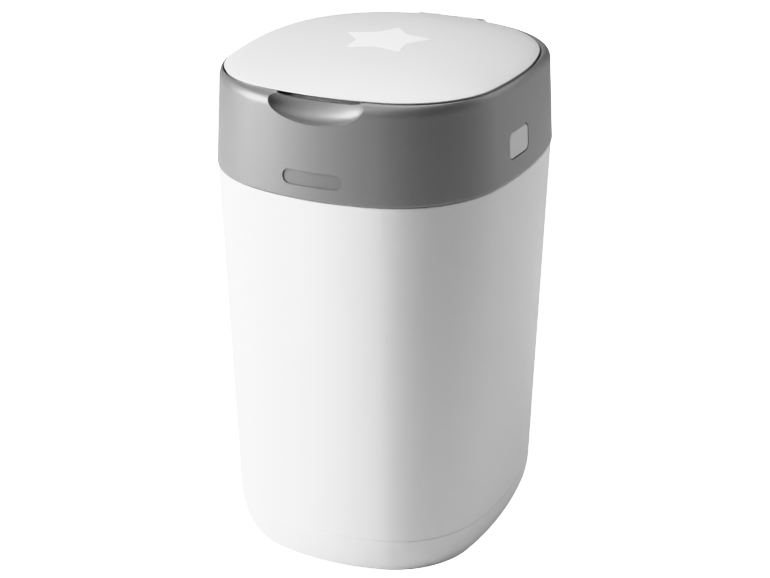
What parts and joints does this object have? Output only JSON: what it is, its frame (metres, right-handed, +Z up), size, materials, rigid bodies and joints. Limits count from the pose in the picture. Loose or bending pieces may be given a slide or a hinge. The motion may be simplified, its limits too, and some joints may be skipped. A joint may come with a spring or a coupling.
{
  "type": "nappy bin",
  "caption": "Tall rounded nappy bin with a domed hinged lid, a hinged head holding a film cassette and turning ring, side release buttons and a tub.",
  "frame": {"origin": "centre of the tub's flat base, on the surface it stands on", "axes": "+Z up; -Y is the front with the finger scoop; +X is the bin's side seen from the front's right"},
  "size_m": [0.2516, 0.2996, 0.4216],
  "materials": {
    "tub_plastic": "satin moulded",
    "collar_plastic": "satin moulded",
    "deck_plastic": "fine texture",
    "cassette_plastic": "moulded",
    "cap_plastic": "moulded",
    "film": "thin film",
    "ring_plastic": "satin moulded",
    "petal_plastic": "moulded",
    "cutter_plastic": "moulded",
    "lid_plastic": "satin moulded",
    "liner_plastic": "moulded",
    "seal_rubber": "soft",
    "star_plastic": "gloss",
    "button_plastic": "satin moulded",
    "steel": "plain"
  },
  "bodies": {
    "tub": {"tub_shell": "tub_plastic", "head_hinge_pin": "steel"},
    "head": {"collar_shell": "collar_plastic", "head_deck": "deck_plastic", "deck_screws": "steel", "click_spring": "steel", "cassette_body": "cassette_plastic", "cassette_cap": "cap_plastic", "film_pack": "film", "lid_hinge_pin": "steel", "button_spring_right": "steel", "button_spring_left": "steel"},
    "ring": {"twist_ring": "ring_plastic", "petal_pins": "steel", "petal_springs": "steel", "cutter_spring": "steel"},
    "petal_right": {"petal_right": "petal_plastic"},
    "petal_back": {"petal_back": "petal_plastic"},
    "petal_left": {"petal_left": "petal_plastic"},
    "petal_front": {"petal_front": "petal_plastic"},
    "cutter": {"cutter_slider": "cutter_plastic", "cutter_blade": "steel"},
    "lid": {"lid_shell": "lid_plastic", "lid_liner": "liner_plastic", "liner_screws": "steel", "lid_seal": "seal_rubber", "star_inlay": "star_plastic"},
    "button_right": {"button_right": "button_plastic"},
    "button_left": {"button_left": "button_plastic"}
  },
  "joints": [
    {"name": "head_tilt", "type": "hinge", "parent": "tub", "child": "head", "pos_m": [0, 0.1501, 0.331], "axis": [-1, 0, 0], "range_deg": [0, 80]},
    {"name": "lid_open", "type": "hinge", "parent": "head", "child": "lid", "pos_m": [0, 0.1368, 0.407], "axis": [-1, 0, 0], "range_deg": [0, 100]},
    {"name": "ring_turn", "type": "hinge", "parent": "head", "child": "ring", "pos_m": [0, 0, 0.395], "axis": [0, 0, 1], "continuous": true},
    {"name": "petal_right_fold", "type": "hinge", "parent": "ring", "child": "petal_right", "pos_m": [0.041, 0, 0.391], "axis": [0, -1, 0], "range_deg": [0, 75], "stiffness_Nm_per_rad": 0.02, "springref_deg": -11.46},
    {"name": "petal_back_fold", "type": "hinge", "parent": "ring", "child": "petal_back", "pos_m": [0, 0.041, 0.391], "axis": [1, 0, 0], "range_deg": [0, 75], "stiffness_Nm_per_rad": 0.02, "springref_deg": -11.46},
    {"name": "petal_left_fold", "type": "hinge", "parent": "ring", "child": "petal_left", "pos_m": [-0.041, 0, 0.391], "axis": [0, 1, 0], "range_deg": [0, 75], "stiffness_Nm_per_rad": 0.02, "springref_deg": -11.46},
    {"name": "petal_front_fold", "type": "hinge", "parent": "ring", "child": "petal_front", "pos_m": [0, -0.041, 0.391], "axis": [-1, 0, 0], "range_deg": [0, 75], "stiffness_Nm_per_rad": 0.02, "springref_deg": -11.46},
    {"name": "cutter_press", "type": "slide", "parent": "ring", "child": "cutter", "axis": [0, 0, -1], "range_m": [0, 0.0055], "stiffness_N_per_m": 300, "springref_m": -0.002, "deforming": ["cutter_spring"]},
    {"name": "button_right_press", "type": "slide", "parent": "head", "child": "button_right", "axis": [-1, 0, 0], "range_m": [0, 0.0035], "stiffness_N_per_m": 800, "springref_m": -0.002, "deforming": ["button_spring_right"]},
    {"name": "button_left_press", "type": "slide", "parent": "head", "child": "button_left", "axis": [1, 0, 0], "range_m": [0, 0.0035], "stiffness_N_per_m": 800, "springref_m": -0.002, "deforming": ["button_spring_left"]}
  ]
}
